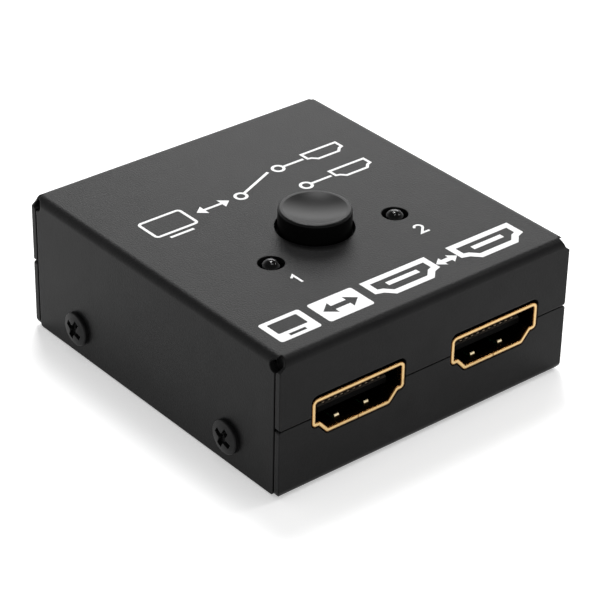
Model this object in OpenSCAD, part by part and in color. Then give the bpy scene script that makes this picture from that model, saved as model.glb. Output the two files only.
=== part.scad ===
// Two-way video switch box: a folded steel case in two covers, three sockets on a board,
// a latching push switch under a dished button, and two indicator lamps.
// Millimetres. X runs right, Y to the back and Z up, from the middle of the underside.

/* [Case] */
// Width of the case from side to side
case_w = 48.5; // [44:0.5:70]
// Depth of the case from front to back
case_d = 52.4; // [50:0.2:80]
// Height of the case without the button
case_h = 20.25; // [19:0.25:30]
// Thickness of the folded sheet
sheet_t = 0.8; // [0.6:0.05:1]
// Outside radius of the folds
fold_r = 1.2; // [1.1:0.05:1.6]
// Height of the seam between the two covers
seam_z = 10.1; // [9.6:0.05:10.6]
// Gap between the covers at the seam
seam_gap = 0.18; // [0.08:0.02:0.3]
// Gap between the covers where one lies inside the other
cover_gap = 0.12; // [0.08:0.02:0.3]
// Gap between the side walls' ends and the end flanges
wall_gap = 0.28; // [0.1:0.02:0.5]
// Height of the side walls' lower edges above the underside
wall_lift = 0.25; // [0.1:0.05:0.5]
// Corner radius of the end flanges at the seam
flange_r = 0.35; // [0.2:0.05:0.8]
// Height of the cut upper corners of the end flanges
flange_cut = 0.6; // [0.4:0.05:1]
// Radius of the lower corners of the case's ends
end_r = 1.1; // [0.4:0.05:1.2]
// Radius of the side walls' lower corners
wall_r = 0.4; // [0.3:0.05:1]
// Diameter of the relief where the folds meet at each upper corner
relief_d = 1.7; // [1.4:0.1:2.2]
// How far the end folds stop short of the case's sides
fold_inset = 0.75; // [0.5:0.05:1]

/* [Sockets] */
// Width of a socket's shell
socket_w = 15; // [14:0.1:16]
// Height of a socket's shell
socket_h = 5.5; // [5:0.1:6]
// Width of the shell's narrow lower side
socket_low_w = 10.2; // [9.5:0.1:11]
// Height of the step in the shell's lower corners
socket_step_h = 1.5; // [1.2:0.1:1.8]
// Width of the flat of that step
socket_step_w = 1.05; // [0.8:0.05:1.3]
// Wall of the shell
shell_t = 0.48; // [0.3:0.02:0.54]
// Length of the shell
shell_len = 11.6; // [10:0.2:14]
// Distance from the case's side to the socket beside it
socket_side = 5.25; // [5:0.25:8]
// Height of the shell above the board
socket_lift = 0.18; // [0.1:0.02:0.4]
// Gap round a shell in the case's end
cutout_gap = 0.2; // [0.15:0.05:0.3]
// Further room over a shell in the case's end
cutout_head = 0.35; // [0.1:0.05:0.6]
// Width of the tongue that carries the contacts
tongue_w = 11.2; // [10.6:0.1:12]
// Thickness of the tongue
tongue_t = 1.2; // [1:0.05:1.4]
// Distance from the shell's mouth back to the tongue
tongue_back = 1.3; // [1.3:0.1:2]
// Thickness of the insulator's rear wall
insulator_wall = 2.2; // [1.6:0.1:3]
// Spacing of the contacts in a row
contact_pitch = 1; // [0.9:0.02:1.04]
// Width of a contact
contact_w = 0.38; // [0.2:0.02:0.5]
// Thickness of a contact
contact_t = 0.2; // [0.15:0.01:0.25]
// Width of the spring fingers in the shell
finger_w = 0.85; // [0.7:0.05:1.4]
// Distance between the two fingers of a wall
finger_gap = 4.84; // [3.6:0.1:6]
// Height of a finger's bump inside the shell
finger_bump = 0.38; // [0.2:0.02:0.5]

/* [Board] */
// Height of the board's upper face above the underside
board_top = 6.9; // [6.8:0.1:8]
// Thickness of the board
board_t = 1.6; // [1:0.1:1.6]
// Diameter of the posts that carry the board
post_d = 4.5; // [4:0.1:5]
// Distance of the posts from the board's sides
post_in = 3.2; // [2.8:0.1:4]
// Shank diameter of the board screws
board_screw_d = 1.9; // [1.6:0.1:2.4]

/* [Button] */
// Distance of the button from the middle, to the back
button_y = -3.5; // [-5:0.25:0]
// Diameter of the button
cap_d = 9.8; // [8.5:0.1:11]
// Height of the button above the case
cap_proud = 2.75; // [2.5:0.05:4]
// Radius of the button's upper edge
cap_edge_r = 0.35; // [0.2:0.05:0.6]
// Width of the flat rim round the dish
cap_rim = 0.45; // [0.3:0.05:1]
// Depth of the dish in the button's face
dish_depth = 0.55; // [0.3:0.05:0.8]
// Gap round the button in the case
cap_gap = 0.4; // [0.3:0.05:0.6]
// How far the button can be pressed
cap_travel = 2.2; // [1.6:0.1:2.4]

/* [Switch] */
// Width of the switch's square body
switch_w = 8.5; // [8.2:0.1:10]
// Height of the switch's body
switch_h = 7; // [6.8:0.1:8]
// Wall of the switch's body
switch_wall = 0.8; // [0.6:0.05:0.9]
// Width of the square post that carries the button
plunger_w = 3.3; // [3:0.1:3.8]
// Wire diameter of the return spring
spring_wire = 0.3; // [0.2:0.02:0.34]
// Diameter of the return spring at the middle of its wire
spring_d = 2.3; // [2.2:0.05:2.4]
// Turns of the return spring
spring_turns = 5; // [4:1:5]
// Wire diameter of the latch
latch_wire = 0.45; // [0.35:0.05:0.5]
// Sideways swing of the latch's tip over a full press
latch_swing = 0.8; // [0.6:0.05:0.9]

/* [Lamps] */
// Diameter of a lamp
lamp_d = 3; // [2.6:0.1:3.4]
// Gap round a lamp in the case
lamp_gap = 0.3; // [0.2:0.05:0.5]
// Distance of the lamps from the middle, to each side
lamp_x = 10.45; // [9.5:0.05:13]
// Distance of the lamps from the middle, to the back
lamp_y = -7.4; // [-9:0.1:-5]
// Height of a lamp's tip above the case's face
lamp_proud = 0.5; // [-0.4:0.1:1]
// Length of a lamp
lamp_len = 5.3; // [4.4:0.1:6]
// Spacing of a lamp's leads
lead_pitch = 2.54; // [2:0.02:2.6]

/* [Cover screws] */
// Distance of the screws from the middle, front and back
screw_y = 16.1; // [14:0.1:17]
// Height of the screws above the underside
screw_z = 4.25; // [3.6:0.05:4.6]
// Diameter of a screw's head
head_d = 4.7; // [4.4:0.1:5.6]
// Height of a screw's head
head_h = 0.95; // [0.5:0.05:1.1]
// Diameter of a screw's shank
shank_d = 2.9; // [2.4:0.1:3]
// Length of a screw's shank
shank_len = 3.4; // [3:0.1:3.8]
// Turn of the screws' cross recesses
screw_turn = 28; // [0:1:90]

/* [Hidden] */
$fn = 48;

// Clearance of a fixed fit, of a sliding fit and of cuts past a face
fixed_gap = 0.03;
slide_gap = 0.1;
past = 1;

steel = "#2b2b2d";
black = "#161617";
gold = "#d9a441";
tin = "#c4c6c8";

// Case
upper_edge = seam_z + seam_gap / 2;
lower_edge = seam_z - seam_gap / 2;
wall_end = case_d / 2 - sheet_t - wall_gap;
fold_start = case_d / 2 - fold_r;
flange_top = case_h - fold_r + 0.1;
weld_w = 1;
weld_lap = 0.1;
base_half = case_w / 2 - sheet_t - cover_gap;
tab_w = 9;
tab_top = screw_z + 3.4;
tab_r = 1.5;
tab_slit = 0.6;
collar_wall = 0.8;
collar_h = 0.6;
wall_hole_d = shank_d + 0.3;
tab_hole_d = shank_d + slide_gap;

// Board
board_half = case_w / 2 - shank_len - 0.35;
board_end = case_d / 2 - sheet_t - 0.8;
board_low = board_top - board_t;
contact_tail = 6.5 * contact_t;
post_x = board_half - post_in;
post_rear_y = board_end - 4.5;
post_front_y = shell_len + contact_tail + 3.8 - case_d / 2;
post_places = [for (x = [-post_x, post_x], y = [post_front_y, post_rear_y]) [x, y]];
post_neck_d = post_d - 1.2;
post_bore_d = board_screw_d + slide_gap;
board_hole_d = board_screw_d + 0.3;
board_head_d = 2 * board_screw_d;
board_head_h = 0.65 * board_screw_d;
board_shank = board_t + 1.6 * board_screw_d;
screw_room = 0.4;
pin_reach = 1.1;

// Sockets
port_x = case_w / 2 - socket_side - socket_w / 2;
socket_z = board_top + socket_lift;
socket_mid = socket_z + socket_h / 2;
knee_x = socket_w / 2 - socket_step_w;
step_angle = atan2(socket_step_h, knee_x - socket_low_w / 2);
corner_top_r = 0.85;
corner_side_r = 0.6;
corner_low_r = 0.6;
corner_least_r = 0.12;
seam_slit = 0.08;
leg_w = 1.8;
leg_places = [4.2, 9.4];
finger_tip = tongue_back - 0.05;
finger_root = 6;
finger_t = 0.25;
finger_slit = 0.2;
finger_slope = 0.22;
finger_crest = 0.5;
cavity = shell_len - insulator_wall;
contact_proud = 0.3 * contact_t;
contact_slot = 0.1;
lower_start = 1;
tongue_bevel = 0.25;
upper_count = 10;
lower_count = 9;

// Button and switch
cap_r = cap_d / 2;
cap_top = case_h + cap_proud;
cap_hole_d = cap_d + 2 * cap_gap;
cap_lip = 0.6;
cap_lip_t = 0.7;
cap_lip_top = case_h - sheet_t - 0.45;
cap_wall = 1.1;
cap_roof = 1.5;
stem_d = plunger_w * sqrt(2) + 1.5;
stem_roof = cap_top - cap_roof - 1.1;
dish_r = cap_r - cap_edge_r / 2 - cap_rim;
dish_ball_r = (dish_r * dish_r + dish_depth * dish_depth) / (2 * dish_depth);
switch_floor = board_top + switch_wall;
switch_top = board_top + switch_h;
switch_room = switch_w / 2 - switch_wall;
lid_t = 0.4;
lid_top = switch_top + lid_t;
stem_low = lid_top + cap_travel + 0.3;
rest_play = 0.2;
end_play = 0.4;
block_top = switch_top - rest_play;
block_low = switch_floor + end_play + cap_travel;
block_half = 2.6;
block_front = 2.4;
block_back = switch_room - 0.35;
pocket_d = spring_d + spring_wire + 0.4;
pocket_top = block_low + 0.62 * (block_top - block_low);
latch_low = switch_floor + 0.4;
latch_tip = block_low + (block_top - block_low - cap_travel) / 2;
latch_y = block_front + 0.2 + latch_wire / 2;
latch_arm = latch_tip - latch_low;
track_w = latch_wire + 0.3;
track_depth = 0.7;
tip_reach = track_depth - 0.15;
notch_drop = 0.65;
track_top = latch_tip + cap_travel - latch_arm * (1 - cos(asin(latch_swing / latch_arm)));
blade_t = 0.3;
blade_w = 0.9;
pin_w = 0.5;
blade_x = switch_room - fixed_gap - blade_t;
blade_pitch = 2;
clip_t = 0.2;
clip_bump_r = 0.2;

// Lamps and small parts on the board
lamp_top = case_h + lamp_proud;
lamp_low = lamp_top - lamp_len;
lamp_rim = 0.4;
lamp_rim_h = 1;
lead_w = 0.5;
chip_back = 7;
chip_y = button_y + switch_w / 2 + chip_back;
chip_size = [9, 3.5, 0.85];
small_size = [1.6, 0.8, 0.8];
small_pitch = 1.6;
capacitor_count = 4;
capacitor_gap = 1.5;
resistor_pitch = 2 * small_pitch;
resistor_shift = 1.5 * small_pitch;
resistor_gap = 1.2;

// A block between two corners
module block(low, high) {
  translate(low) cube(high - low);
}

// A profile in X and Z, swept along Y
module sweep_y(from, to) {
  translate([0, to, 0]) rotate([90, 0, 0]) linear_extrude(to - from) children();
}

// A profile in Y and Z, swept along X
module sweep_x(from, to) {
  translate([from, 0, 0]) rotate([90, 0, 90]) linear_extrude(to - from) children();
}

// A shape and its mirror image at the other end of the case
module both_ends() {
  children();
  mirror([0, 1, 0]) children();
}

// A shape and its mirror image at the other side of the case
module both_sides() {
  children();
  mirror([1, 0, 0]) children();
}

// An upright rectangle with its two upper corners rounded
module rounded_top(w, low, top, r) {
  translate([-w / 2, low]) square([w, top - low - r]);
  translate([r - w / 2, low]) square([w - 2 * r, top - low]);
  for (s = [-1, 1])
    translate([s * (w / 2 - r), top - r]) circle(r);
}

// An upright rectangle with all corners rounded
module rounded_plate(w, low, top, low_r, top_r) {
  rounded_top(w, low + low_r, top, top_r);
  translate([low_r - w / 2, low]) square([w - 2 * low_r, top - low - top_r]);
  for (s = [-1, 1])
    translate([s * (w / 2 - low_r), low + low_r]) circle(low_r);
}

// Outline of an end flange: round corners at the seam, cut corners at the fold
module flange(low, top) {
  half = case_w / 2;
  inset = half - fold_inset;
  polygon([[-half, low + flange_r], [half, low + flange_r], [half, top - flange_cut], [inset, top],
           [-inset, top], [-half, top - flange_cut]]);
  translate([flange_r - half, low]) square([case_w - 2 * flange_r, 2 * flange_r]);
  for (s = [-1, 1])
    translate([s * (half - flange_r), low + flange_r]) circle(flange_r);
}

// Outline of the end folds, which narrow towards the case's top
module fold_outline() {
  wide = case_w / 2 - fold_inset;
  narrow = case_w / 2 - fold_r;
  polygon([[-wide, 0], [wide, 0], [wide, flange_top], [narrow, case_h], [narrow, case_h + past],
           [-narrow, case_h + past], [-narrow, case_h], [-wide, flange_top]]);
}

// What is cut off to round a sheet's corner: the corner points to +Y and +Z, and the sheet lies along X
module corner_cut(r, thick) {
  rotate([0, 90, 0]) difference() {
    translate([-r - past, 0, 0]) cube([r + past, r + past, thick]);
    cylinder(r = r, h = thick);
  }
}

// Sheet folded down on both sides
module hood(w, low, top) {
  difference() {
    rounded_top(w, low, top, fold_r);
    rounded_top(w - 2 * sheet_t, low - past, top - sheet_t, fold_r - sheet_t);
  }
}

// Sheet folded up on both sides
module tray(w, low, top) {
  translate([0, low + top]) mirror([0, 1]) hood(w, low, top);
}

// Puts a socket in place: 0 and 1 at the front, 2 at the rear, with Y from its mouth inwards
module at_port(i) {
  if (i < 2)
    translate([(2 * i - 1) * port_x, -case_d / 2, 0]) children();
  else
    rotate([0, 0, 180]) translate([0, -case_d / 2, 0]) children();
}

// Outline of a socket, grown all round and raised at the top
module socket_outline(grow, head = 0) {
  half = socket_w / 2 + grow;
  top = socket_z + socket_h + grow + head;
  step = socket_z + socket_step_h - grow;
  low = socket_z - grow;
  slip = tan(step_angle / 2);
  knee = knee_x + grow * slip;
  toe = socket_low_w / 2 + grow * slip;
  top_r = max(corner_top_r + grow, corner_least_r);
  side_r = max(corner_side_r + grow, corner_least_r);
  low_r = max(corner_low_r + grow, corner_least_r);
  bend_in = low_r * slip;
  rounded_top(2 * half, step + side_r, top, top_r);
  translate([side_r - half, step]) square([2 * (half - side_r), 2 * side_r]);
  for (s = [-1, 1]) {
    translate([s * (half - side_r), step + side_r]) circle(side_r);
    translate([s * (toe - bend_in), low + low_r]) circle(low_r);
  }
  polygon([for (s = [1, -1], p = s > 0 ? [0, 1, 2, 3] : [3, 2, 1, 0])
    p == 0 ? [s * knee, step + side_r] :
    p == 1 ? [s * knee, step] :
    p == 2 ? [s * (toe + bend_in * cos(step_angle)), low + bend_in * sin(step_angle)] :
    [s * (toe - bend_in), low]]);
}

// Weld that closes an upper corner behind its relief
module corner_weld() {
  low = case_h - fold_r - relief_d / 2;
  front = fold_start - relief_d / 2;
  back = case_d / 2 - sheet_t / 2;
  bend = case_w / 2 - fold_r;
  block([bend - weld_w, front, low], [bend + weld_lap, back, case_h - sheet_t / 2]);
  block([bend, front, low], [case_w / 2 - sheet_t / 2, back, case_h - fold_r]);
}

module top_cover() color(steel) difference() {
  union() {
    difference() {
      sweep_y(-wall_end, wall_end) hood(case_w, wall_lift, case_h);
      both_ends()
        block([-case_w, fold_start, case_h - fold_r - relief_d / 2], [case_w, case_d, case_h + past]);
    }
    intersection() {
      sweep_x(-case_w / 2, case_w / 2) hood(case_d, upper_edge + flange_r, case_h);
      sweep_y(-case_d, case_d) fold_outline();
    }
    both_ends() {
      sweep_y(case_d / 2 - sheet_t, case_d / 2) flange(upper_edge, flange_top);
      both_sides() corner_weld();
    }
  }
  both_ends() both_sides() {
    translate([case_w / 2 - fold_r, fold_start, case_h - fold_r])
      rotate([0, 90, 0]) cylinder(d = relief_d, h = fold_r + past);
    translate([case_w / 2 - sheet_t - past, wall_end - wall_r, wall_lift + wall_r])
      mirror([0, 0, 1]) corner_cut(wall_r, sheet_t + 2 * past);
  }
  for (i = [0:2])
    at_port(i) sweep_y(-past, sheet_t + past) socket_outline(cutout_gap, cutout_head);
  translate([0, button_y, case_h - sheet_t - past]) cylinder(d = cap_hole_d, h = sheet_t + 2 * past);
  both_sides()
    translate([lamp_x, lamp_y, case_h - sheet_t - past])
      cylinder(d = lamp_d + 2 * lamp_gap, h = sheet_t + 2 * past);
  both_ends() both_sides()
    translate([case_w / 2 - sheet_t - past, screw_y, screw_z])
      rotate([0, 90, 0]) cylinder(d = wall_hole_d, h = sheet_t + 2 * past);
}

module screw_tab() {
  sweep_y(screw_y - tab_w / 2, screw_y + tab_w / 2) intersection() {
    tray(2 * base_half, 0, tab_top);
    translate([base_half - fold_r, -past]) square([2 * fold_r, tab_top + 2 * past]);
  }
}

module bottom_cover() color(steel) difference() {
  union() {
    difference() {
      sweep_x(-base_half, base_half) tray(case_d, 0, lower_edge - flange_r);
      both_ends() both_sides()
        block([base_half - fold_r, screw_y - tab_w / 2 - tab_slit, -past],
              [case_w, screw_y + tab_w / 2 + tab_slit, sheet_t + past]);
    }
    both_ends() intersection() {
      sweep_x(-case_w / 2, case_w / 2) tray(case_d, 0, lower_edge);
      sweep_y(wall_end + cover_gap, case_d) rounded_plate(case_w, 0, lower_edge, end_r, flange_r);
    }
    both_ends() both_sides() {
      screw_tab();
      translate([base_half - sheet_t - collar_h, screw_y, screw_z])
        rotate([0, 90, 0]) cylinder(d = tab_hole_d + 2 * collar_wall, h = collar_h + sheet_t / 2);
    }
  }
  for (i = [0:2])
    at_port(i) sweep_y(-past, sheet_t + past) socket_outline(cutout_gap, cutout_head);
  both_ends() both_sides() {
    translate([base_half - sheet_t - collar_h - past, screw_y, screw_z])
      rotate([0, 90, 0]) cylinder(d = tab_hole_d, h = sheet_t + collar_h + 2 * past);
    for (s = [-1, 1])
      translate([base_half - sheet_t - past, screw_y + s * (tab_w / 2 - tab_r), tab_top - tab_r])
        scale([1, s, 1]) corner_cut(tab_r, sheet_t + 2 * past);
  }
  for (p = post_places)
    translate([p[0], p[1], -past]) cylinder(d = post_neck_d + 2 * fixed_gap, h = sheet_t + 2 * past);
}

// A low screw head with a rounded edge, a domed face and a cross recess, its shank along -Z
module cross_screw(d, h, shank, length, recess) {
  edge = h / 4;
  rim = 0.7 * h;
  face = d / 2 - edge;
  ball_r = (face * face + (h - rim) * (h - rim)) / (2 * (h - rim));
  arm = recess / 7;
  difference() {
    union() {
      rotate_extrude() {
        square([face, rim]);
        square([d / 2, rim - edge]);
        translate([face, rim - edge]) circle(edge);
      }
      intersection() {
        translate([0, 0, h - ball_r]) sphere(ball_r);
        translate([0, 0, rim / 2]) cylinder(r = face, h = h);
      }
      translate([0, 0, -length]) cylinder(d = shank, h = length + h / 2);
    }
    for (a = [0, 90])
      rotate([0, 0, a]) block([-recess / 2, -arm, h / 4], [recess / 2, arm, h + past]);
    translate([0, 0, -recess / 4]) cylinder(d1 = recess / 8, d2 = recess / 2, h = recess / 4 + h);
  }
}

module cover_screws() color(black)
  both_sides()
    for (y = [-screw_y, screw_y])
      translate([case_w / 2, y, screw_z]) rotate([0, 90, 0]) rotate([0, 0, screw_turn])
        cross_screw(head_d, head_h, shank_d, shank_len, 0.64 * head_d);

module circuit_board() color("#1d5a36") difference() {
  block([-board_half, -board_end, board_low], [board_half, board_end, board_top]);
  for (p = post_places)
    translate([p[0], p[1], board_low - past]) cylinder(d = board_hole_d, h = board_t + 2 * past);
  for (i = [0:2], y = leg_places)
    at_port(i) both_sides()
      block([socket_w / 2 - shell_t - slide_gap, y - leg_w / 2 - slide_gap, board_low - past],
            [socket_w / 2 + slide_gap, y + leg_w / 2 + slide_gap, board_top + past]);
  for (x = [-lead_pitch / 2, lead_pitch / 2])
    both_sides()
      translate([lamp_x + x, lamp_y, board_low - past])
        cylinder(d = lead_w * sqrt(2) + slide_gap, h = board_t + 2 * past);
  for (y = [-blade_pitch, 0, blade_pitch])
    both_sides()
      translate([blade_x + blade_t / 2, button_y + y, board_low - past])
        cylinder(d = pin_w + 2 * blade_t, h = board_t + 2 * past);
}

module board_posts() color(tin)
  for (p = post_places)
    translate([p[0], p[1], 0]) difference() {
      union() {
        translate([0, 0, sheet_t]) cylinder(d = post_d, h = board_low - sheet_t);
        translate([0, 0, sheet_t / 8]) cylinder(d = post_neck_d, h = sheet_t);
      }
      translate([0, 0, board_top - board_shank - screw_room])
        cylinder(d = post_bore_d, h = board_shank + past);
    }

module board_screws() color(tin)
  for (p = post_places)
    translate([p[0], p[1], board_top])
      cross_screw(board_head_d, board_head_h, board_screw_d, board_shank, 0.6 * board_head_d);

// A spring finger in the shell's lower wall, rooted at its rear end
module spring_finger() {
  inner = socket_z + shell_t;
  crest = finger_tip + finger_slope;
  sweep_x(-finger_w / 2, finger_w / 2) polygon([
    [finger_root + finger_slit, socket_z], [finger_root + finger_slit, socket_z + finger_t],
    [crest + finger_crest, inner + finger_bump], [crest, inner + finger_bump], [finger_tip, inner],
    [finger_tip, inner - finger_t], [crest + finger_t / 2, inner + finger_bump - finger_t],
    [crest + finger_crest - finger_t / 2, inner + finger_bump - finger_t]]);
}

// Both fingers of the lower wall, or what is cut out round them
module finger_pair(cut) {
  both_sides() translate([finger_gap / 2, 0, 0]) {
    if (cut)
      block([-finger_w / 2 - finger_slit, finger_tip - finger_slit, socket_z - past],
            [finger_w / 2 + finger_slit, finger_root, socket_z + shell_t + slide_gap]);
    else
      spring_finger();
  }
}

// The upper wall's copy of a shape made for the lower wall
module on_upper_wall() {
  translate([0, 0, 2 * socket_mid]) mirror([0, 0, 1]) children();
}

module socket_shell() color(gold) union() {
  difference() {
    sweep_y(0, shell_len) difference() {
      socket_outline(0);
      socket_outline(-shell_t);
    }
    finger_pair(true);
    on_upper_wall() finger_pair(true);
    block([-seam_slit / 2, -past, socket_z - past], [seam_slit / 2, shell_len + past, socket_mid]);
  }
  finger_pair(false);
  on_upper_wall() finger_pair(false);
  for (y = leg_places)
    both_sides()
      block([socket_w / 2 - shell_t, y - leg_w / 2, board_low - pin_reach],
            [socket_w / 2, y + leg_w / 2, socket_mid]);
}

// One contact: a blade on the tongue, a drop behind the insulator and a tail on the board
module contact(low, start, grow) {
  w = contact_w / 2 + grow;
  block([-w, tongue_back + start - grow, low - grow],
        [w, shell_len + contact_t, low + contact_t + grow]);
  block([-w, shell_len, board_top], [w, shell_len + contact_t, low + contact_t]);
  block([-w, shell_len, board_top], [w, shell_len + contact_tail, board_top + contact_t]);
}

module contact_rows(grow) {
  upper = socket_mid + tongue_t / 2 + contact_proud - contact_t;
  lower = socket_mid - tongue_t / 2 - contact_proud;
  for (i = [0:upper_count - 1])
    translate([(i - (upper_count - 1) / 2) * contact_pitch, 0, 0]) contact(upper, tongue_bevel, grow);
  for (i = [0:lower_count - 1])
    translate([(i - (lower_count - 1) / 2) * contact_pitch, 0, 0]) contact(lower, lower_start, grow);
}

module socket_contacts() color(gold) contact_rows(0);

module socket_insulator() color(black) difference() {
  union() {
    sweep_y(cavity, shell_len) socket_outline(-shell_t - fixed_gap);
    sweep_x(-tongue_w / 2, tongue_w / 2) polygon([
      [tongue_back, socket_mid - tongue_t / 2 + tongue_bevel],
      [tongue_back, socket_mid + tongue_t / 2 - tongue_bevel],
      [tongue_back + tongue_bevel, socket_mid + tongue_t / 2], [cavity + past, socket_mid + tongue_t / 2],
      [cavity + past, socket_mid - tongue_t / 2], [tongue_back + tongue_bevel, socket_mid - tongue_t / 2]]);
  }
  contact_rows(contact_slot);
  finger_pair(true);
  on_upper_wall() finger_pair(true);
}

module button_cap() color(black) translate([0, button_y, 0]) difference() {
  union() {
    difference() {
      union() {
        rotate_extrude() {
          translate([0, cap_lip_top - cap_lip_t])
            square([cap_r, cap_top - cap_edge_r - cap_lip_top + cap_lip_t]);
          translate([0, cap_top - 2 * cap_edge_r]) square([cap_r - cap_edge_r, 2 * cap_edge_r]);
          translate([cap_r - cap_edge_r, cap_top - cap_edge_r]) circle(cap_edge_r);
        }
        translate([0, 0, cap_lip_top - cap_lip_t])
          cylinder(r = cap_r + cap_gap + cap_lip, h = cap_lip_t);
      }
      translate([0, 0, cap_lip_top - cap_lip_t - past])
        cylinder(r = cap_r - cap_wall, h = cap_top - cap_roof - cap_lip_top + cap_lip_t + past);
    }
    translate([0, 0, stem_low]) cylinder(d = stem_d, h = cap_top - cap_roof - stem_low);
  }
  translate([0, 0, cap_top + dish_ball_r - dish_depth]) sphere(r = dish_ball_r);
  block([-plunger_w / 2 - fixed_gap, -plunger_w / 2 - fixed_gap, stem_low - past],
        [plunger_w / 2 + fixed_gap, plunger_w / 2 + fixed_gap, stem_roof]);
}

module switch_housing() color(black) translate([0, button_y, 0]) difference() {
  union() {
    difference() {
      block([-switch_w / 2, -switch_w / 2, board_top], [switch_w / 2, switch_w / 2, switch_top]);
      block([-switch_room, -switch_room, switch_floor], [switch_room, switch_room, switch_top + past]);
    }
    translate([0, 0, switch_floor - past / 2])
      cylinder(d = spring_d - spring_wire - 0.4, h = 2 * spring_wire + past / 2);
  }
  translate([0, -switch_room, latch_low])
    rotate([90, 0, 0]) translate([0, 0, -past]) cylinder(d = latch_wire + 0.08, h = switch_wall + 2 * past);
  for (y = [-blade_pitch, 0, blade_pitch])
    both_sides()
      block([blade_x - fixed_gap, y - pin_w / 2 - fixed_gap, board_top - past],
            [blade_x + blade_t + fixed_gap, y + pin_w / 2 + fixed_gap, switch_floor + past]);
}

module switch_cover() color(tin) translate([0, button_y, 0]) {
  difference() {
    block([-switch_w / 2 - lid_t, -switch_w / 2, switch_top], [switch_w / 2 + lid_t, switch_w / 2, lid_top]);
    block([-plunger_w / 2 - slide_gap, -plunger_w / 2 - slide_gap, switch_top - past],
          [plunger_w / 2 + slide_gap, plunger_w / 2 + slide_gap, lid_top + past]);
  }
  both_sides()
    block([switch_w / 2, -switch_w / 5, switch_top - switch_h / 3],
          [switch_w / 2 + lid_t, switch_w / 5, lid_top]);
}

// A groove with round ends between two points of the plunger's front face
module groove(from, to) {
  run = to - from;
  for (p = [from, to])
    translate(p) circle(d = track_w);
  translate(from) rotate(atan2(run[1], run[0]))
    translate([0, -track_w / 2]) square([norm(run), track_w]);
}

// Heart-shaped track of the latch's tip: up one flank, into the notch and down the other
module latch_track() {
  start = [0, latch_tip];
  crest = [latch_swing, track_top];
  notch = [0, track_top - notch_drop];
  far = [-latch_swing, track_top];
  back = [-latch_swing, (latch_tip + track_top) / 2];
  groove(start, crest);
  groove(crest, notch);
  groove(notch, far);
  groove(far, back);
  groove(back, start);
}

module switch_plunger() color("#d8d4c4") translate([0, button_y, 0]) difference() {
  union() {
    block([-block_half, -block_front, block_low], [block_half, block_back, block_top]);
    block([-plunger_w / 2, -plunger_w / 2, block_top - past], [plunger_w / 2, plunger_w / 2, stem_roof]);
  }
  translate([0, 0, block_low - past]) cylinder(d = pocket_d, h = pocket_top - block_low + past);
  sweep_y(-block_front - past, track_depth - block_front) latch_track();
}

// Points round the spring's wire, ring by ring
spring_sides = 6;
spring_steps = 8;
spring_low = switch_floor + spring_wire / 2 + fixed_gap;
spring_high = pocket_top - spring_wire / 2 - fixed_gap;
spring_rings = spring_turns * spring_steps;
function spring_centre(i) =
  let (a = 360 * i / spring_steps)
  [spring_d / 2 * cos(a), spring_d / 2 * sin(a), spring_low + (spring_high - spring_low) * i / spring_rings];
function spring_ring(i) =
  let (c = spring_centre(i), a = 360 * i / spring_steps)
  [for (k = [0:spring_sides - 1])
    let (b = 360 * k / spring_sides)
    c + spring_wire / 2 * [cos(b) * cos(a), cos(b) * sin(a), sin(b)]];
spring_points = [for (i = [0:spring_rings]) each spring_ring(i)];
spring_faces = [
  for (k = [1:spring_sides - 2]) [0, k + 1, k],
  for (i = [0:spring_rings - 1], k = [0:spring_sides - 1])
    let (a = i * spring_sides + k, b = i * spring_sides + (k + 1) % spring_sides)
    each [[a, b, b + spring_sides], [a, b + spring_sides, a + spring_sides]],
  for (k = [1:spring_sides - 2])
    let (last = spring_rings * spring_sides)
    [last, last + k, last + k + 1]];
spring_self_gap = min([for (i = [0:spring_rings - spring_steps])
  norm(spring_centre(i + spring_steps) - spring_centre(i))]) - spring_wire;
echo(spring_self_gap = spring_self_gap);

module switch_spring() color(tin)
  translate([0, button_y, 0]) polyhedron(spring_points, spring_faces);

// A length of the latch's wire with round joints, along X, Y or Z
module latch_run(from, to) {
  run = to - from;
  turn = run[2] != 0 ? [0, 0, 0] : [run[1] > 0 ? -90 : 90, 0, 0];
  translate(from) {
    rotate(turn) cylinder(d = latch_wire, h = norm(run));
    sphere(d = latch_wire);
  }
}

module switch_latch() color(tin) translate([0, button_y, 0]) {
  latch_run([0, -latch_y, latch_low], [0, switch_wall / 4 - switch_w / 2, latch_low]);
  latch_run([0, -latch_y, latch_low], [0, -latch_y, latch_tip]);
  latch_run([0, -latch_y, latch_tip], [0, tip_reach - block_front, latch_tip]);
}

module switch_clips() color("#b98a3c") translate([0, button_y, 0])
  both_sides() {
    block([block_half, -blade_pitch - blade_w / 2, block_top - 3 * blade_w],
          [block_half + clip_t, blade_w / 2, block_top - blade_w]);
    for (y = [-blade_pitch, 0])
      translate([block_half + clip_t, y + blade_w / 2, block_top - 2 * blade_w])
        rotate([90, 0, 0]) cylinder(r = clip_bump_r, h = blade_w);
  }

module switch_terminals() color(tin) translate([0, button_y, 0])
  for (y = [-blade_pitch, 0, blade_pitch])
    both_sides() {
      block([blade_x, y - blade_w / 2, switch_floor],
            [blade_x + blade_t, y + blade_w / 2, block_top - blade_w]);
      block([blade_x, y - pin_w / 2, board_low - pin_reach],
            [blade_x + blade_t, y + pin_w / 2, switch_floor]);
    }

module lamp(s) color("#e8ecf0", 0.5) translate([s * lamp_x, lamp_y, 0]) {
  translate([0, 0, lamp_top - lamp_d / 2]) sphere(d = lamp_d);
  translate([0, 0, lamp_low]) cylinder(d = lamp_d, h = lamp_len - lamp_d / 2);
  translate([0, 0, lamp_low]) intersection() {
    cylinder(d = lamp_d + 2 * lamp_rim, h = lamp_rim_h);
    block([-lamp_d, -lamp_d, 0], [lamp_d / 2, lamp_d, lamp_rim_h]);
  }
}

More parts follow.
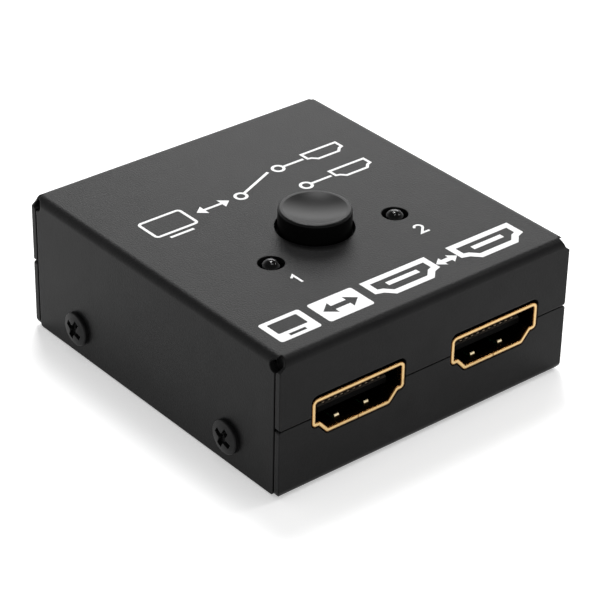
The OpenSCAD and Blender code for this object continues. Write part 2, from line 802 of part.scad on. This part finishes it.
module lamp_leads(s) color(tin) translate([s * lamp_x, lamp_y, 0])
  for (x = [-lead_pitch / 2, lead_pitch / 2])
    block([x - lead_w / 2, -lead_w / 2, board_low - pin_reach], [x + lead_w / 2, lead_w / 2, lamp_low]);

module mux_chip() color("#1b1b1d")
  translate([-chip_size[0] / 2, chip_y - chip_size[1] / 2, board_top]) cube(chip_size);

module board_capacitors() color("#b59a76")
  both_sides()
    for (i = [0:capacitor_count - 1])
      translate([chip_size[0] / 2 + capacitor_gap,
                 chip_y + (i - (capacitor_count - 1) / 2) * small_pitch - small_size[1] / 2, board_top])
        cube(small_size);

module board_resistors() color("#242426")
  both_sides()
    for (i = [-1:1])
      translate([port_x - small_size[0] / 2 + i * resistor_pitch - resistor_shift,
                 shell_len + contact_tail + resistor_gap - case_d / 2, board_top])
        cube([small_size[0], small_size[1], small_size[2] / 2]);

top_cover();
bottom_cover();
cover_screws();
circuit_board();
board_posts();
board_screws();
at_port(0) socket_shell();  // port_1_shell
at_port(0) socket_insulator();  // port_1_insulator
at_port(0) socket_contacts();  // port_1_contacts
at_port(1) socket_shell();  // port_2_shell
at_port(1) socket_insulator();  // port_2_insulator
at_port(1) socket_contacts();  // port_2_contacts
at_port(2) socket_shell();  // common_port_shell
at_port(2) socket_insulator();  // common_port_insulator
at_port(2) socket_contacts();  // common_port_contacts
button_cap();
switch_housing();
switch_cover();
switch_plunger();
switch_spring();
switch_latch();
switch_clips();
switch_terminals();
lamp(-1);  // led_1
lamp_leads(-1);  // led_1_leads
lamp(1);  // led_2
lamp_leads(1);  // led_2_leads
mux_chip();
board_capacitors();
board_resistors();
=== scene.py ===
"""Looks of the two-way video switch box: materials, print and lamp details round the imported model."""

import math

import bmesh
import bpy
from mathutils import Matrix, Vector
from mathutils.geometry import tessellate_polygon


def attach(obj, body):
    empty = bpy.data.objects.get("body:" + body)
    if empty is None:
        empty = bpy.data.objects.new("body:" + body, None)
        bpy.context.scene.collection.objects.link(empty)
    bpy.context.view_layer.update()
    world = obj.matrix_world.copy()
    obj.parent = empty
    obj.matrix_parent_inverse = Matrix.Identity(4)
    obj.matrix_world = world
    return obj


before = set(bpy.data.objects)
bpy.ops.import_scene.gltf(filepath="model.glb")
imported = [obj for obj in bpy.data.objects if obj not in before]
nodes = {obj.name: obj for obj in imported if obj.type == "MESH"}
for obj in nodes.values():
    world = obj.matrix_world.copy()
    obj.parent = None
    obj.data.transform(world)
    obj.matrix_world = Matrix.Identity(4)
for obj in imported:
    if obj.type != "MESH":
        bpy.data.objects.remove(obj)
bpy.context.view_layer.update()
scene = bpy.context.scene

MM = 0.001
PLATE_Z = 20.25
PRINT_T = 0.015
LAMP_X, LAMP_Y, LAMP_TOP = 10.45, -7.4, 20.75
MOUTH_Y, SOCKET_X, SOCKET_MID = 26.2, 11.5, 9.83
RIM_DEPTH, RIM_FRINGE = 0.08, 0.3
FINGER_X, CREST_HALF_W, CREST_RISE, CREST_BACK = 2.42, 0.36, 2.14, 1.6
PLAIN_LEVEL, CEILING_LEVEL, FLOOR_GLOW = 0.45, 0.3, 0.4
FLOOR_DROP = 0.02


# Materials

class Shader:
    """A Principled material with short calls for its nodes."""

    def __init__(self, name, **sockets):
        self.material = bpy.data.materials.new(name)
        self.material.use_nodes = True
        self.tree = self.material.node_tree
        self.bsdf = self.tree.nodes["Principled BSDF"]
        for key, value in sockets.items():
            self.bsdf.inputs[key.replace("_", " ")].default_value = value
        coords = self.add("ShaderNodeTexCoord")
        scale = self.add("ShaderNodeMapping")
        scale.inputs["Scale"].default_value = (1 / MM,) * 3
        self.link(coords.outputs["Object"], scale.inputs["Vector"])
        self.mm = scale.outputs["Vector"]

    def add(self, kind, **values):
        node = self.tree.nodes.new(kind)
        for key, value in values.items():
            if key in node.inputs:
                node.inputs[key].default_value = value
            else:
                setattr(node, key, value)
        return node

    def link(self, output, socket):
        self.tree.links.new(output, socket)

    def noise(self, per_mm, detail=2.0, rough=0.5, vector=None):
        node = self.add("ShaderNodeTexNoise", Scale=per_mm, Detail=detail, Roughness=rough)
        self.link(vector or self.mm, node.inputs["Vector"])
        return node.outputs["Fac"]

    def stretched(self, scale):
        node = self.add("ShaderNodeMapping")
        node.inputs["Scale"].default_value = scale
        self.link(self.mm, node.inputs["Vector"])
        return node.outputs["Vector"]

    def ramp(self, value, stops):
        node = self.add("ShaderNodeValToRGB")
        elements = node.color_ramp.elements
        while len(elements) < len(stops):
            elements.new(0.5)
        for element, (place, colour) in zip(elements, stops):
            element.position = place
            element.color = (*colour, 1) if len(colour) == 3 else colour
        self.link(value, node.inputs["Fac"])
        return node.outputs["Color"]

    def math(self, operation, *values):
        node = self.add("ShaderNodeMath", operation=operation)
        for value, socket in zip(values, node.inputs):
            if isinstance(value, (int, float)):
                socket.default_value = value
            else:
                self.link(value, socket)
        return node.outputs[0]

    def mix(self, factor, first, second):
        node = self.add("ShaderNodeMix", data_type="RGBA")
        self.link(factor, node.inputs["Factor"])
        for value, socket in ((first, node.inputs[6]), (second, node.inputs[7])):
            if isinstance(value, tuple):
                socket.default_value = (*value, 1)
            else:
                self.link(value, socket)
        return node.outputs[2]

    def colour(self, output):
        self.link(output, self.bsdf.inputs["Base Color"])

    def span(self, value, low, high, socket="Roughness"):
        node = self.add("ShaderNodeMapRange")
        node.inputs["To Min"].default_value = low
        node.inputs["To Max"].default_value = high
        self.link(value, node.inputs["Value"])
        self.link(node.outputs["Result"], self.bsdf.inputs[socket])

    def bump(self, value, strength, depth_mm, edge_mm=0.0):
        node = self.add("ShaderNodeBump", Strength=strength, Distance=depth_mm * MM)
        self.link(value, node.inputs["Height"])
        if edge_mm:
            bevel = self.add("ShaderNodeBevel", samples=6)
            bevel.inputs["Radius"].default_value = edge_mm * MM
            self.link(bevel.outputs["Normal"], node.inputs["Normal"])
        self.link(node.outputs["Normal"], self.bsdf.inputs["Normal"])


def shades(colour, low, high):
    return tuple(c * low for c in colour), tuple(c * high for c in colour)


def powder_coat(name, colour):
    s = Shader(name, Specular_IOR_Level=0.095)
    grain = s.noise(4.4, 2.0, 0.6)
    dark, light = shades(colour, 0.8, 1.2)
    s.colour(s.ramp(s.noise(0.25, 3.0), [(0.3, dark), (0.7, light)]))
    s.span(grain, 0.32, 0.44)
    s.bump(grain, 0.8, 0.05, 0.2)
    shape = s.add("ShaderNodeNewGeometry")
    split = s.add("ShaderNodeSeparateXYZ")
    s.link(shape.outputs["Normal"], split.inputs[0])
    level = s.add("ShaderNodeMapRange")
    level.inputs["To Min"].default_value = 0.45
    level.inputs["To Max"].default_value = 0.9
    s.link(split.outputs["Z"], level.inputs["Value"])
    s.link(level.outputs["Result"], s.tree.nodes["Bump"].inputs["Strength"])
    return s.material


def moulded(name, colour, rough=(0.3, 0.42), grain=6.0, depth=0.012, edge=0.06, gloss=0.4):
    s = Shader(name, Specular_IOR_Level=gloss)
    dark, light = shades(colour, 0.85, 1.15)
    s.colour(s.ramp(s.noise(0.6, 2.0), [(0.3, dark), (0.7, light)]))
    fine = s.noise(grain, 2.0)
    s.span(fine, *rough)
    s.bump(fine, 0.2, depth, edge)
    return s.material


def metal(name, colour, rough=(0.18, 0.3), streak=(1, 1, 1), grain=3.0, depth=0.006, edge=0.05):
    s = Shader(name, Metallic=1.0)
    dark, light = shades(colour, 0.9, 1.08)
    s.colour(s.ramp(s.noise(1.2, 2.0), [(0.3, dark), (0.7, light)]))
    fine = s.noise(grain, 3.0, vector=s.stretched(streak))
    s.span(fine, *rough)
    s.bump(fine, 0.25, depth, edge)
    return s.material


def shell_plating(name, bright, edge, painted_deep_shade, painted_crest_glint):
    """Gold plating, bright at the mouth, with painted shade on the rim's rounded fringe and on the walls
    further in, and a painted glint on the fingers' tops.
    """
    s = Shader(name, Metallic=1.0)
    split = s.add("ShaderNodeSeparateXYZ")
    s.link(s.mm, split.inputs[0])
    across = s.math("ABSOLUTE", split.outputs["X"])
    depth = s.math("SUBTRACT", MOUTH_Y, s.math("ABSOLUTE", split.outputs["Y"]))
    shape = s.add("ShaderNodeNewGeometry")
    rounded = s.add("ShaderNodeBevel", samples=16, Radius=RIM_FRINGE * MM)
    turn = s.add("ShaderNodeVectorMath", operation="DOT_PRODUCT")
    s.link(shape.outputs["True Normal"], turn.inputs[0])
    s.link(rounded.outputs["Normal"], turn.inputs[1])
    # Painted shade: the rim's rounded fringe takes the darker edge colour, its flat face the bright gold.
    rim_fringe_shade = s.ramp(turn.outputs["Value"], [(0.86, edge), (0.985, bright)])
    # Painted shade: further into the mouth the walls go from the edge colour to the deep colour.
    painted_shade_inside = s.ramp(s.math("DIVIDE", depth, 2.0), [(0.08, edge), (0.5, painted_deep_shade)])
    walls = s.mix(s.math("GREATER_THAN", depth, RIM_DEPTH), rim_fringe_shade, painted_shade_inside)
    # Painted glint: a pale colour on the fingers' tops near the mouth.
    beside = s.math("ABSOLUTE", s.math("SUBTRACT", across, SOCKET_X))
    fingers = s.math("COMPARE", s.math("MINIMUM", across, beside), FINGER_X, CREST_HALF_W)
    inside = s.math("COMPARE", split.outputs["Z"], SOCKET_MID, CREST_RISE)
    near = s.math("LESS_THAN", depth, CREST_BACK)
    crest_glint_mask = s.math("MULTIPLY", s.math("MULTIPLY", fingers, inside), near)
    s.colour(s.mix(crest_glint_mask, walls, painted_crest_glint))
    fine = s.noise(5.0, 3.0, vector=s.stretched((1, 0.2, 1)))
    s.span(fine, 0.2, 0.32)
    s.bump(fine, 0.25, 0.006, 0.28)
    return s.material


def clear_resin(name):
    s = Shader(name, Transmission_Weight=1.0, IOR=1.3)
    # Painted shade: the clear lamp's resin is coloured near black for the dark hole it sits in.
    s.colour(s.ramp(s.noise(0.8), [(0.2, (0.012, 0.012, 0.0125)), (0.8, (0.018, 0.018, 0.0185))]))
    s.span(s.noise(2.0), 0.02, 0.05)
    return s.material


def socket_moulding(name, colour, painted_lit_top):
    """Dark moulding with painted light: paler on the tongue's upper face."""
    s = Shader(name, Specular_IOR_Level=0.02)
    split = s.add("ShaderNodeSeparateXYZ")
    s.link(s.mm, split.inputs[0])
    rise = s.math("SUBTRACT", split.outputs["Z"], SOCKET_MID)
    # Painted light: the colour turns paler above the tongue's middle.
    s.colour(s.ramp(rise, [(0.36, colour), (0.44, painted_lit_top)]))
    fine = s.noise(6.0, 2.0)
    s.span(fine, 0.45, 0.6)
    s.bump(fine, 0.2, 0.012, 0.06)
    return s.material


def board_mask(name):
    s = Shader(name, Specular_IOR_Level=0.5)
    lines = s.add("ShaderNodeTexWave", Scale=0.8, Distortion=3.0, Detail=1.0)
    s.link(s.mm, lines.inputs["Vector"])
    s.colour(s.ramp(lines.outputs["Fac"], [(0.35, (0.012, 0.085, 0.035)), (0.6, (0.02, 0.13, 0.055))]))
    s.span(s.noise(1.5), 0.25, 0.4)
    s.bump(lines.outputs["Fac"], 0.2, 0.03)
    return s.material


def print_ink(name):
    s = Shader(name, Specular_IOR_Level=0.3)
    grain = s.noise(4.2, 3.0, 0.55)
    s.colour(s.ramp(grain, [(0.3, (0.80, 0.80, 0.80)), (0.7, (0.90, 0.90, 0.90))]))
    s.span(s.noise(2.0), 0.5, 0.65)
    s.bump(grain, 0.15, 0.02)
    return s.material


CASE = powder_coat("case_paint", (0.0075, 0.0075, 0.0077))
# Gold at the mouth; the other three colours are painted shade on the rim fringe, painted shade deep inside,
# and a painted glint on the fingers.
GOLD = shell_plating("shell_gold", (0.64, 0.45, 0.21), (0.28, 0.12, 0.03), (0.06, 0.04, 0.02),
                     (0.9, 0.76, 0.5))
# Gold darkened to paint the shade inside the sockets.
CONTACT = metal("contact_gold", (0.24, 0.19, 0.14), (0.25, 0.38))
STEEL = metal("bare_steel", (0.55, 0.55, 0.55), (0.24, 0.38), (1, 0.15, 1))
TIN = metal("tinned", (0.66, 0.66, 0.64), (0.25, 0.4))
FRAME = metal("lamp_frame", (0.10, 0.10, 0.10), (0.25, 0.4))
DIE = moulded("lamp_die", (0.85, 0.84, 0.80), (0.5, 0.6))
BRASS = metal("post_brass", (0.72, 0.5, 0.2), (0.22, 0.36))
SCREW = moulded("screw_black", (0.007, 0.007, 0.0072), (0.34, 0.46), 4.0, 0.01, 0.1, gloss=0.14)
# The second colour is painted light on the tongue's upper face.
INSULATOR = socket_moulding("insulator_black", (0.0012, 0.0012, 0.0012), (0.05, 0.045, 0.04))
BUTTON = moulded("button_black", (0.002, 0.002, 0.002), (0.26, 0.34), 8.0, 0.004, 0.08, gloss=0.1)
SWITCH = moulded("switch_black", (0.02, 0.02, 0.021), (0.45, 0.6))
PLUNGER = moulded("plunger_cream", (0.62, 0.58, 0.46), (0.4, 0.5))
CHIP = moulded("chip_black", (0.018, 0.018, 0.019), (0.45, 0.6))
CERAMIC = moulded("capacitor_tan", (0.42, 0.29, 0.17), (0.45, 0.6))
RESIN = clear_resin("lamp_clear")
MASK = board_mask("board_green")
INK = print_ink("print_white")

LOOKS = {
    "top_cover": CASE, "bottom_cover": CASE, "cover_screws": SCREW, "circuit_board": MASK,
    "board_posts": BRASS, "board_screws": STEEL, "button_cap": BUTTON, "switch_housing": SWITCH,
    "switch_cover": STEEL, "switch_plunger": PLUNGER, "switch_spring": STEEL, "switch_latch": STEEL,
    "switch_clips": BRASS, "switch_terminals": TIN, "led_1": RESIN, "led_2": RESIN,
    "led_1_leads": TIN, "led_2_leads": TIN, "mux_chip": CHIP, "board_capacitors": CERAMIC,
    "board_resistors": CHIP,
}
for port in ("port_1", "port_2", "common_port"):
    LOOKS[port + "_shell"] = GOLD
    LOOKS[port + "_contacts"] = CONTACT
    LOOKS[port + "_insulator"] = INSULATOR

for name, look in LOOKS.items():
    slots = nodes[name].data.materials
    slots.clear()
    slots.append(look)


# Print on the plate

def add_mesh(name, bm, look, body="case"):
    bmesh.ops.recalc_face_normals(bm, faces=bm.faces)
    mesh = bpy.data.meshes.new(name)
    bm.to_mesh(mesh)
    bm.free()
    mesh.materials.append(look)
    piece = bpy.data.objects.new(name, mesh)
    scene.collection.objects.link(piece)
    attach(piece, body)
    return piece


def slab(bm, outline, low=PLATE_Z, thick=PRINT_T):
    """A thin flat piece of print with a closed outline, in millimetres."""
    rings = [[bm.verts.new((x * MM, y * MM, z * MM)) for x, y in outline] for z in (low, low + thick)]
    n = len(outline)
    for ring in rings:
        bm.faces.new(ring)
    for i in range(n):
        j = (i + 1) % n
        bm.faces.new((rings[0][i], rings[0][j], rings[1][j], rings[1][i]))


def stroke(bm, points, width, closed=False):
    """A line of even width through points, with mitred corners."""
    pts = [Vector(p) for p in points]
    n = len(pts)
    left, right = [], []
    for i, p in enumerate(pts):
        before = pts[i - 1] if i or closed else None
        after = pts[(i + 1) % n] if i < n - 1 or closed else None
        runs = [(b - a).normalized() for a, b in ((before, p), (p, after)) if a is not None and b is not None]
        along = sum(runs, Vector((0, 0))).normalized()
        side = Vector((-along.y, along.x))
        reach = width / 2 / max(0.35, along.dot(runs[0]))
        left.append(p + side * reach)
        right.append(p - side * reach)
    count = n if closed else n - 1
    for i in range(count):
        j = (i + 1) % n
        slab(bm, [left[i], right[i], right[j], left[j]])


def arc(cx, cy, r, start, end, steps=16):
    turn = [math.radians(start + (end - start) * i / steps) for i in range(steps + 1)]
    return [(cx + r * math.cos(a), cy + r * math.sin(a)) for a in turn]


def moved(points, x, y, k=1.0):
    return [(x + k * px, y + k * py) for px, py in points]


def box(x0, y0, x1, y1, r=0.0):
    """Outline of a rectangle, with round corners if r is given."""
    if not r:
        return [(x0, y0), (x1, y0), (x1, y1), (x0, y1)]
    return (arc(x1 - r, y0 + r, r, -90, 0, 6) + arc(x1 - r, y1 - r, r, 0, 90, 6)
            + arc(x0 + r, y1 - r, r, 90, 180, 6) + arc(x0 + r, y0 + r, r, 180, 270, 6))


def panel(bm, outer, holes):
    """A flat piece of print with holes that show the paint."""
    rings = [outer, *holes]
    flat = [Vector((x, y, 0)) for ring in rings for x, y in ring]
    tris = tessellate_polygon([[Vector((x, y, 0)) for x, y in ring] for ring in rings])
    heights = (PLATE_Z, PLATE_Z + PRINT_T)
    levels = [[bm.verts.new((p.x * MM, p.y * MM, z * MM)) for p in flat] for z in heights]
    for level in levels:
        for tri in tris:
            bm.faces.new([level[i] for i in tri])
    first = 0
    for ring in rings:
        n = len(ring)
        for i in range(n):
            a, b = first + i, first + (i + 1) % n
            bm.faces.new((levels[0][a], levels[0][b], levels[1][b], levels[1][a]))
        first += n


def socket_mark(x, y, k):
    half = [(-3.2, 1.2), (-3.2, -0.3), (-2.6, -0.5), (-1.9, -1.2)]
    return moved(half + [(-px, py) for px, py in reversed(half)], x, y, k)


def double_arrow(x, y, length, head, thick):
    a = length / 2
    half = [(-a, 0), (head - a, head * 0.8), (head - a, thick / 2)]
    upper = half + [(-px, py) for px, py in reversed(half)][:-1]
    return moved(upper + [(a, 0)] + [(px, -py) for px, py in reversed(upper[1:])], x, y)


bm = bmesh.new()
stroke(bm, moved([(-0.62, 0.62), (0.12, 1.2), (0.12, -1.2)], -10.3, -12.4, 0.83), 0.33)
add_mesh("numeral_1", bm, INK)

bm = bmesh.new()
two = arc(0, 0.5, 0.62, 170, -35, 14) + [(-0.66, -1.04), (0.74, -1.04)]
stroke(bm, moved(two, 10.5, -12.45, 0.92), 0.34)
add_mesh("numeral_2", bm, INK)

bm = bmesh.new()
stroke(bm, box(-18, 6.6, -11.4, 10.8, 0.5), 0.42, True)
stroke(bm, [(-16.6, 5.6), (-12.8, 5.6)], 0.42)
slab(bm, double_arrow(-7.3, 8.7, 5.4, 1.3, 0.42))
stroke(bm, arc(-2.6, 8.7, 0.8, 0, 360, 24)[:-1], 0.42, True)
stroke(bm, [(-1.7, 9.1), (4.4, 11.7)], 0.42)
for y in (11.7, 5.7):
    stroke(bm, arc(6.2, y, 0.8, 0, 360, 24)[:-1], 0.42, True)
    stroke(bm, [(7.2, y), (10.6, y)], 0.42)
    stroke(bm, socket_mark(14.2, y, 0.95), 0.42, True)
add_mesh("switch_diagram", bm, INK)

bm = bmesh.new()
panel(bm, box(-21.3, -22.9, -14.9, -18.1, 0.4),
      [box(-20.4, -21.2, -15.8, -18.8, 0.2), box(-19.4, -22.3, -16.8, -21.8)])
panel(bm, box(-13.6, -22.9, -6.4, -18.1, 0.4), [double_arrow(-10.0, -20.5, 5.6, 1.6, 0.9)])
add_mesh("mode_marks", bm, INK)

bm = bmesh.new()
for x in (0.4, 15.0):
    stroke(bm, socket_mark(x, -20.5, 1.55), 0.95, True)
    slab(bm, box(x - 2.6, -20.7, x + 2.6, -19.9))
slab(bm, double_arrow(7.7, -20.5, 3.6, 1.2, 0.8))
add_mesh("port_marks", bm, INK)


# Lead frames inside the lamps

def prism(bm, outline, low, top, taper=1.0):
    """An upright piece whose top is its outline scaled about the middle, in millimetres."""
    n = len(outline)
    cx, cy = sum(p[0] for p in outline) / n, sum(p[1] for p in outline) / n
    ends = [(low, outline), (top, [(cx + taper * (x - cx), cy + taper * (y - cy)) for x, y in outline])]
    rings = [[bm.verts.new((x * MM, y * MM, z * MM)) for x, y in ring] for z, ring in ends]
    for ring in rings:
        bm.faces.new(ring)
    for i in range(n):
        j = (i + 1) % n
        bm.faces.new((rings[0][i], rings[0][j], rings[1][j], rings[1][i]))


def lead_frame(side):
    bm = bmesh.new()
    x, low, top = side * LAMP_X, LAMP_TOP - 4.9, LAMP_TOP - 2.4
    prism(bm, box(x - 1.1, LAMP_Y - 0.25, x - 0.65, LAMP_Y + 0.25), low, top)
    prism(bm, box(x - 0.35, LAMP_Y - 0.25, x + 0.35, LAMP_Y + 0.25), low, top - 0.2)
    prism(bm, arc(x, LAMP_Y, 0.35, 0, 360, 20)[:-1], top - 0.2, top + 0.25, 1.5)
    wire = arc(x - 0.45, top + 0.3, 0.45, 10, 170, 10)
    for (ax, az), (bx, bz) in zip(wire, wire[1:]):
        run = box(min(ax, bx), LAMP_Y - 0.03, max(ax, bx), LAMP_Y + 0.03)
        prism(bm, run, min(az, bz), max(az, bz) + 0.06)
    return bm


def lamp_die(side):
    bm = bmesh.new()
    x, low = side * LAMP_X, LAMP_TOP - 2.16
    prism(bm, box(x - 0.2, LAMP_Y - 0.2, x + 0.2, LAMP_Y + 0.2), low, low + 0.16, 0.7)
    return bm


for side, lamp in ((-1, "led_1"), (1, "led_2")):
    add_mesh(lamp + "_frame", lead_frame(side), FRAME)
    add_mesh(lamp + "_die", lamp_die(side), DIE)


# Studio: floor, light and camera

def white_for_eye(tree, plain, white):
    """White to the eye and in reflections, and a plain level for light."""
    path = tree.nodes.new("ShaderNodeLightPath")
    seen = path.outputs["Is Camera Ray"]
    for other in ("Is Glossy Ray", "Is Transmission Ray"):
        both = tree.nodes.new("ShaderNodeMath")
        both.operation = "MAXIMUM"
        tree.links.new(seen, both.inputs[0])
        tree.links.new(path.outputs[other], both.inputs[1])
        seen = both.outputs[0]
    mix = tree.nodes.new("ShaderNodeMixShader")
    tree.links.new(seen, mix.inputs["Fac"])
    tree.links.new(plain, mix.inputs[1])
    tree.links.new(white, mix.inputs[2])
    return mix.outputs["Shader"]


world = bpy.data.worlds.new("studio")
scene.world = world
world.use_nodes = True
tree = world.node_tree
sky = tree.nodes["Background"]
sky.inputs["Color"].default_value = (1, 1, 1, 1)
sky.inputs["Strength"].default_value = PLAIN_LEVEL
backdrop = tree.nodes.new("ShaderNodeBackground")
backdrop.inputs["Color"].default_value = (1, 1, 1, 1)
direction = tree.nodes.new("ShaderNodeTexCoord")
split = tree.nodes.new("ShaderNodeSeparateXYZ")
tree.links.new(direction.outputs["Generated"], split.inputs[0])
ceiling = tree.nodes.new("ShaderNodeMapRange")
for key, value in (("From Min", 0.3), ("From Max", 0.7), ("To Min", 1.0), ("To Max", CEILING_LEVEL)):
    ceiling.inputs[key].default_value = value
tree.links.new(split.outputs["Z"], ceiling.inputs["Value"])
tree.links.new(ceiling.outputs["Result"], backdrop.inputs["Strength"])
surround = white_for_eye(tree, sky.outputs[0], backdrop.outputs[0])
tree.links.new(surround, tree.nodes["World Output"].inputs["Surface"])

bm = bmesh.new()
bmesh.ops.create_grid(bm, x_segments=1, y_segments=1, size=3.0)
mesh = bpy.data.meshes.new("floor")
bm.to_mesh(mesh)
bm.free()
floor = bpy.data.objects.new("floor", mesh)
floor.location.z = -FLOOR_DROP * MM
scene.collection.objects.link(floor)
paper = bpy.data.materials.new("floor_paper")
paper.use_nodes = True
tree = paper.node_tree
base = tree.nodes["Principled BSDF"]
base.inputs["Base Color"].default_value = (0.9, 0.9, 0.9, 1)
base.inputs["Roughness"].default_value = 0.9
base.inputs["Specular IOR Level"].default_value = 0.0
glow = tree.nodes.new("ShaderNodeEmission")
glow.inputs["Strength"].default_value = FLOOR_GLOW
lifted = tree.nodes.new("ShaderNodeAddShader")
tree.links.new(base.outputs[0], lifted.inputs[0])
tree.links.new(glow.outputs[0], lifted.inputs[1])
surface = white_for_eye(tree, base.outputs[0], lifted.outputs[0])
tree.links.new(surface, tree.nodes["Material Output"].inputs["Surface"])
mesh.materials.append(paper)


def softbox(name, place, target, size, power):
    light = bpy.data.lights.new(name, "AREA")
    light.shape = "RECTANGLE"
    light.size, light.size_y = size
    light.energy = power
    lamp = bpy.data.objects.new(name, light)
    lamp.location = place
    lamp.rotation_euler = (Vector(target) - Vector(place)).to_track_quat("-Z", "Y").to_euler()
    scene.collection.objects.link(lamp)


softbox("back_light", (0.46, 0.5, 0.36), (0, 0, 0), (0.46, 0.32), 1.7)
softbox("front_light", (0.46, -0.14, 0.6), (0, 0, 0), (0.14, 0.14), 0.6)
softbox("top_light", (0.06, -0.04, 0.76), (0, 0, 0), (0.22, 0.22), 0.6)
softbox("key_light", (0.16, 0.23, 0.58), (0, 0, 0), (0.16, 0.16), 2.1)

EYE = Vector((-0.180222, -0.214769, 0.177810))
RIGHT = Vector((0.771415, -0.636099, 0.017246))
UP = Vector((0.319224, 0.410293, 0.854257))
AHEAD = Vector((0.550468, 0.653482, -0.519564))
camera = bpy.data.objects.new("camera", bpy.data.cameras.new("camera"))
camera.data.lens = 147.071
camera.data.sensor_width = 36.0
camera.data.clip_start = 0.01
camera.matrix_world = Matrix((
    (RIGHT.x, UP.x, -AHEAD.x, EYE.x),
    (RIGHT.y, UP.y, -AHEAD.y, EYE.y),
    (RIGHT.z, UP.z, -AHEAD.z, EYE.z),
    (0, 0, 0, 1)))
scene.collection.objects.link(camera)
scene.camera = camera
scene.view_settings.view_transform = "Standard"
